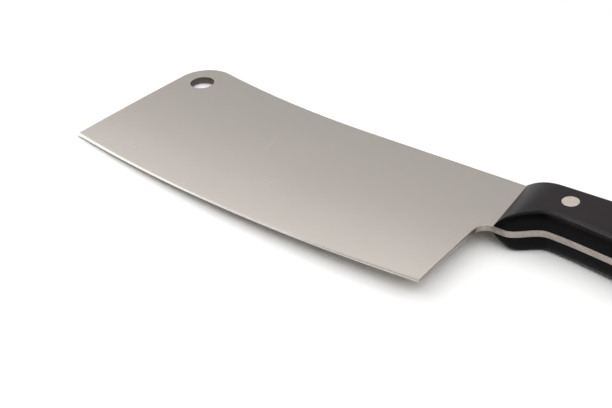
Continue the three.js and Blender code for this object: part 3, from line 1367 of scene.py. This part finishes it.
    def bevel_point(self, angle: float) -> Flat:
        """Find a point of the bevel's upper line.

        Args:
            angle: Angle on the edge circle in radians.

        Returns:
            The point in plan.
        """
        out = Vector((math.cos(angle), math.sin(angle)))
        depth = 0.0
        for _ in range(self.depth_rounds):
            x, y = self.edge_centre + out * (self.edge_radius - depth)
            depth = (self.ground_half(x, y) - self.bevel_base) / self.bevel_slope
        return tuple(self.edge_centre + out * (self.edge_radius - depth))

    def outline(self) -> tuple[list[Flat], Flat, Flat]:
        """Outline of blade and tang, clockwise from the heel along the edge, up the tip and back.

        Returns:
            The points, then the ends of the bevel's upper line at the tip and at the heel.
        """
        grip = self.handle
        longest, steps = self.longest_step, self.corner_steps
        heel_x = -self.heel_radius - self.edge_centre.x
        heel_drop = math.sqrt((self.edge_radius - self.heel_radius) ** 2 - heel_x ** 2)
        heel_centre = (-self.heel_radius, self.edge_centre.y - heel_drop)
        heel_turn = math.atan2(-heel_drop, heel_x)
        heel = arc(heel_centre, self.heel_radius, 0, heel_turn, steps)
        to_tip = self.tip - self.edge_centre
        tip_turn = math.atan2(to_tip.y, to_tip.x)
        to_corner = self.tip_corner - self.flare_centre
        flare_turn = math.atan2(to_corner.y, to_corner.x)
        start = math.pi - math.radians(self.tip_lean)
        corner = arc(self.tip_corner, self.tip_radius, start, flare_turn + math.pi, steps)
        flare = arc(
            self.flare_centre, self.flare_radius, flare_turn, -QUARTER_TURN, self.flare_steps
        )
        choil_centre = (grip.choil_radius, grip.underside_height - grip.choil_radius)
        choil = arc(choil_centre, grip.choil_radius, QUARTER_TURN, math.pi, steps)
        tip_bevel = self.bevel_end(tuple(self.tip), corner[0], self.in_from_tip)
        heel_bevel = self.bevel_end(heel[0], choil[-1], Vector((-1, 0)))
        edges = [(s, *grip.edges(s)) for s in grip.reaches]
        tang_spine = [(grip.x_at(s, spine), spine) for s, _, spine in edges]
        tang_belly = [(grip.x_at(s, belly), belly) for s, belly, _ in edges]
        parts = [
            heel,
            arc(self.edge_centre, self.edge_radius, heel_turn, tip_turn, self.edge_steps),
            straight(tip_bevel, corner[0], longest),
            corner,
            flare,
            straight(flare[-1], tang_spine[0], longest),
            tang_spine,
            tang_belly[::-1],
            choil,
            straight(choil[-1], heel_bevel, longest),
        ]
        points: list[Flat] = []
        for point in (point for part in parts for point in part):
            if not points or math.dist(points[-1], point) > SAME_POINT:
                points.append(point)
        if math.dist(points[0], points[-1]) < SAME_POINT:
            points.pop()
        tip_end, heel_end = (
            min(points, key=lambda point: math.dist(point, end)) for end in (tip_bevel, heel_bevel)
        )
        return points, tip_end, heel_end

    def rim(self, skin: Skin, points: list[Flat], side: Side) -> list[list[int]]:
        """Rows of points over an eased edge, from the wall to just inside the blade's face.

        Args:
            skin: The blade's skin.
            points: A closed edge in plan, with the metal on its right.
            side: The face that the edge leads to.

        Returns:
            The rows, the one on the wall first.
        """
        count = len(points)
        inwards = []
        for i in range(count):
            before, here, after = (Vector(points[k % count]) for k in (i - 1, i, i + 1))
            first, second = (here - before).normalized(), (after - here).normalized()
            way = Vector((first.y + second.y, -first.x - second.x)).normalized()
            square_on = way.dot(Vector((first.y, -first.x)))
            inwards.append(way / max(self.sharpest_mitre, square_on))
        radii = [self.ease(point) for point in points]
        turns = spread(0, QUARTER_TURN, self.easing_steps)
        steps = [(1 - math.cos(turn), 1 - math.sin(turn)) for turn in turns]
        rows = []
        for inset, drop in (*steps, (self.face_inset, 0.0)):
            row = []
            for point, way, radius in zip(points, inwards, radii):
                x, y = Vector(point) + way * radius * inset
                top = Vector(point) + way * radius * max(1.0, inset)
                row.append((x, y, side.value * (self.half_at(*top) - radius * drop)))
            rows.append(skin.row(row))
        return rows

    def face_points(self, outline: list[Flat], holes: list[tuple[Flat, float]]) -> list[Flat]:
        """Grid of points over the blade's face that carry the soft run-out of the grind.

        Args:
            outline: Outline of blade and tang.
            holes: Middle and radius of each hole.

        Returns:
            Points that keep clear of the outline, the bevel and the holes.
        """
        step = self.face_step
        found = []
        high = max(y for _, y in outline)
        for i in range(1, int(self.length / step)):
            for j in range(int(high / step) + 2):
                at = (-self.length + (i + j % 2 / 2) * step, (j - 1) * step)
                # The bevel's slope is what it rises in a millimetre, which the points keep off it
                clear = self.bevel_half(*at) - self.ground_half(*at) > self.bevel_slope
                clear = clear and all(math.dist(at, hole) > r + step / 2 for hole, r in holes)
                if clear and inside(at, outline) and distance(at, outline) > step / 2:
                    found.append(at)
        return found

    def build(self) -> Object:
        """Build the blade: eased rims, two ground faces and the honed bevels.

        Returns:
            The blade's object.
        """
        skin = Skin()
        outline, *ends = self.outline()
        hang = self.tip_corner + Vector((-self.hole_towards_tip, self.hole_towards_spine))
        holes = [(tuple(hang), self.hanging_hole / 2)]
        holes += [(place, self.rivets.hole_radius) for place in self.rivets.places(self.handle)]
        rings = [ring(at, radius, self.hole_steps) for at, radius in holes]
        face_points = self.face_points(outline, holes)
        centre = self.edge_centre
        at_tip, at_heel = (math.atan2(y - centre.y, x - centre.x) for x, y in ends)
        margin = self.line_margin / self.edge_radius
        angles = spread(at_tip + margin, at_heel - margin, self.edge_steps)
        bevel = [self.bevel_point(angle) for angle in angles]
        hone_radius = self.edge_radius - self.hone_width
        hone = arc(centre, hone_radius, angles[0], angles[-1], self.edge_steps)
        wall_finishes = [self.rim_finish, *(self.punched_shade_finish for _ in holes)]
        walls = []
        for side in Side:
            rims = [self.rim(skin, points, side) for points in (outline, *rings)]
            for rows, finish in zip(rims, wall_finishes):
                for outer, inner in zip(rows[:-1], rows[1:-1]):
                    skin.band(outer, inner, finish)
                skin.band(rows[-2], rows[-1], self.face_finish)
            walls.append([rows[0] for rows in rims])
            brim, *mouths = (rows[-1] for rows in rims)
            line, hone_line, loose = (
                skin.row((x, y, side.value * self.half_at(x, y)) for x, y in points)
                for points in (bevel, hone, face_points)
            )
            tip_end, heel_end = (brim[outline.index(end)] for end in ends)
            lines = [[tip_end, *line, heel_end], hone_line]
            skin.sheet(brim, mouths, [*line, *hone_line, *loose], lines, self.face_finish)
        for upper, lower, finish in zip(*walls, wall_finishes):
            skin.band(upper, lower, finish)
        return skin.piece("ground_blade", self.crease)

    def dress(self, piece: Object) -> None:
        """Dress the blade in its satin, wheel-ground, honed and punched steel; the darker tones of
        the rims and hole walls are painted shade.
        """
        finishes = (SATIN_STEEL, WHEEL_SHADED_STEEL, HONED_STEEL, PUNCHED_SHADED_STEEL)
        dressed(piece, finishes, "blade_steel", "blade")


@dataclass(frozen=True)
class Softbox:
    """A soft lamp that hangs level above the knife and shines down.

    Attributes:
        name: The lamp's name.
        middle: Place of its middle in millimetres from the heel.
        size: Millimetres along X and Y.
        radiance: Brightness of its face, where 1 is that of white paper in plain light.
    """

    name: str
    middle: Point
    size: Flat
    radiance: float

    def hang(self) -> None:
        """Hang the lamp, unseen by the camera itself."""
        lamp = bpy.data.lights.new(self.name, "AREA")
        lamp.shape = "RECTANGLE"
        lamp.size, lamp.size_y = (side * MM for side in self.size)
        lamp.energy = self.radiance * math.pi * lamp.size * lamp.size_y
        softbox = in_scene(self.name, lamp)
        softbox.location = placed(*self.middle)
        softbox.visible_camera = False


@dataclass
class Studio:
    """White paper under soft light from above, in a room that is dim behind the camera.

    The camera's foot is its place in plan from the heel, and its height is above the blade's middle
    plane. The balance is the place in plan below the knife's centre of mass.
    """

    foot: Flat = (188.78, -273.31)
    camera_height: float = 255.16
    heading: float = 131.0
    pitch: float = 33.6
    roll: float = 4.25
    focal_pixels: float = 1200.0
    picture_width: float = 612.0
    sensor_width: float = 36.0
    nearest: float = 10.0
    floor_size: float = 60.0
    balance: Flat = (-37.9, 47.7)
    softboxes: tuple[Softbox, ...] = (
        Softbox("side softbox", (-1380.0, 389.0, 900.0), (1560.0, 778.0), 1.05),
        Softbox("rear softbox", (-450.0, 489.0, 900.0), (300.0, 578.0), 1.4),
        Softbox("right softbox", (995.0, 314.0, 900.0), (1490.0, 928.0), 1.35),
        Softbox("front softbox", (150.0, -475.0, 900.0), (2900.0, 650.0), 1.75),
        Softbox("top softbox", (-25.0, 50.0, 900.0), (550.0, 400.0), 0.42),
        Softbox("tip softbox", (-1325.0, 0.0, 900.0), (950.0, 300.0), 0.8),
    )
    horizon: float = 0.4
    zenith: float = 0.63
    front_spread: float = 1.0
    front_level: float = 0.1
    front_shade: float = 2.0

    def camera(self) -> None:
        """Set the camera at the picture's viewpoint."""
        turns = (self.heading, self.pitch, self.roll)
        heading, pitch, roll = (math.radians(turn) for turn in turns)
        ahead = Vector((math.cos(heading), math.sin(heading), 0))
        level = Vector((math.sin(heading), -math.cos(heading), 0))
        above = Vector((0, 0, 1))
        view = ahead * math.cos(pitch) - above * math.sin(pitch)
        lift = ahead * math.sin(pitch) + above * math.cos(pitch)
        right = level * math.cos(roll) - lift * math.sin(roll)
        up = level * math.sin(roll) + lift * math.cos(roll)
        data = bpy.data.cameras.new("camera")
        data.sensor_width = self.sensor_width
        data.sensor_fit = "HORIZONTAL"
        data.lens = self.focal_pixels / self.picture_width * self.sensor_width
        data.clip_start = self.nearest * MM
        camera = in_scene("camera", data)
        turned = Matrix((right, up, -view)).transposed().to_4x4()
        turned.translation = placed(*self.foot, self.camera_height)
        camera.matrix_world = turned
        bpy.context.scene.camera = camera

    def floor(self, pieces: list[Object]) -> None:
        """Lay the paper under the knife, which rests on its tip and the belly of its lower scale.

        Args:
            pieces: All pieces of the knife.
        """
        shell = bmesh.new()
        for vertex in (vertex for piece in pieces for vertex in piece.data.vertices):
            shell.verts.new(vertex.co)
        hull = bmesh.ops.convex_hull(shell, input=shell.verts)["geom"]
        faces = [part for part in hull if isinstance(part, bmesh.types.BMFace)]
        sides = [[vertex.co.copy() for vertex in face.verts] for face in faces]
        shell.free()
        weight = placed(*self.balance, 0.0).xy
        over = [side for side in sides if intersect_point_tri_2d(weight, *(at.xy for at in side))]
        rest = min(over, key=lambda side: height_over(side, weight))
        reach = self.floor_size / 2
        plan = ((-reach, -reach), (reach, -reach), (reach, reach), (-reach, reach))
        corners = [(x, y, height_over(rest, Vector((x, y)))) for x, y in plan]
        mesh = bpy.data.meshes.new("paper_floor")
        mesh.from_pydata(corners, [], [(0, 1, 2, 3)])
        mesh.materials.append(material_of(PaperFinish()))
        in_scene("paper_floor", mesh)

    def light(self) -> None:
        """Light the knife by softboxes in a pale room that is dim behind the camera."""
        for softbox in self.softboxes:
            softbox.hang()
        world = bpy.data.worlds.new("studio")
        bpy.context.scene.world = world
        world.use_nodes = True
        tree = world.node_tree
        tree.nodes.clear()
        add = partial(add_node, tree)
        way = add("ShaderNodeTexCoord").outputs["Generated"]
        rise = add("ShaderNodeSeparateXYZ", {"Vector": way}).outputs["Z"]
        heading = math.radians(self.heading)
        front = (-math.cos(heading), -math.sin(heading), 0.0)
        facing = add("ShaderNodeVectorMath", {
            0: way, 1: front,
        }, operation="DOT_PRODUCT").outputs["Value"]
        near = add("ShaderNodeMapRange", {
            "Value": facing, "From Min": -self.front_spread,
        }).outputs["Result"]
        sunk = add("ShaderNodeMath", {
            0: near, 1: -self.front_shade, 2: rise,
        }, operation="MULTIPLY_ADD").outputs[0]
        dome = add("ShaderNodeMapRange", {
            "Value": rise, "To Min": self.horizon, "To Max": self.zenith,
        }).outputs["Result"]
        shade = add("ShaderNodeMapRange", {
            "Value": sunk,
            "From Min": -self.front_shade,
            "From Max": 0.0,
            "To Min": self.front_level,
        }, interpolation_type="SMOOTHSTEP").outputs["Result"]
        level = add("ShaderNodeMath", {0: dome, 1: shade}, operation="MULTIPLY")
        room = add("ShaderNodeBackground", {
            "Color": (1.0, 1.0, 1.0, 1.0), "Strength": level.outputs[0],
        })
        add("ShaderNodeOutputWorld", {"Surface": room.outputs[0]})


def main() -> None:
    """Build the knife piece by piece, then the studio round it."""
    logging.basicConfig(level=logging.INFO, format="%(name)s: %(message)s")
    handle = Handle()
    rivets = Rivets()
    blade = Blade(handle, rivets)
    pieces = [blade.build()]
    blade.dress(pieces[0])
    for side in Side:
        scale = handle.build(side, rivets)
        handle.dress(scale, side)
        halves = rivets.build(side, handle)
        rivets.dress(halves, side)
        pieces += [scale, halves]
    for piece in pieces:
        LOG.info("%s: %d faces", piece.name, len(piece.data.polygons))
    studio = Studio()
    studio.floor(pieces)
    studio.light()
    studio.camera()
    bpy.context.scene.view_settings.view_transform = "Standard"


if __name__ == "__main__":
    main()
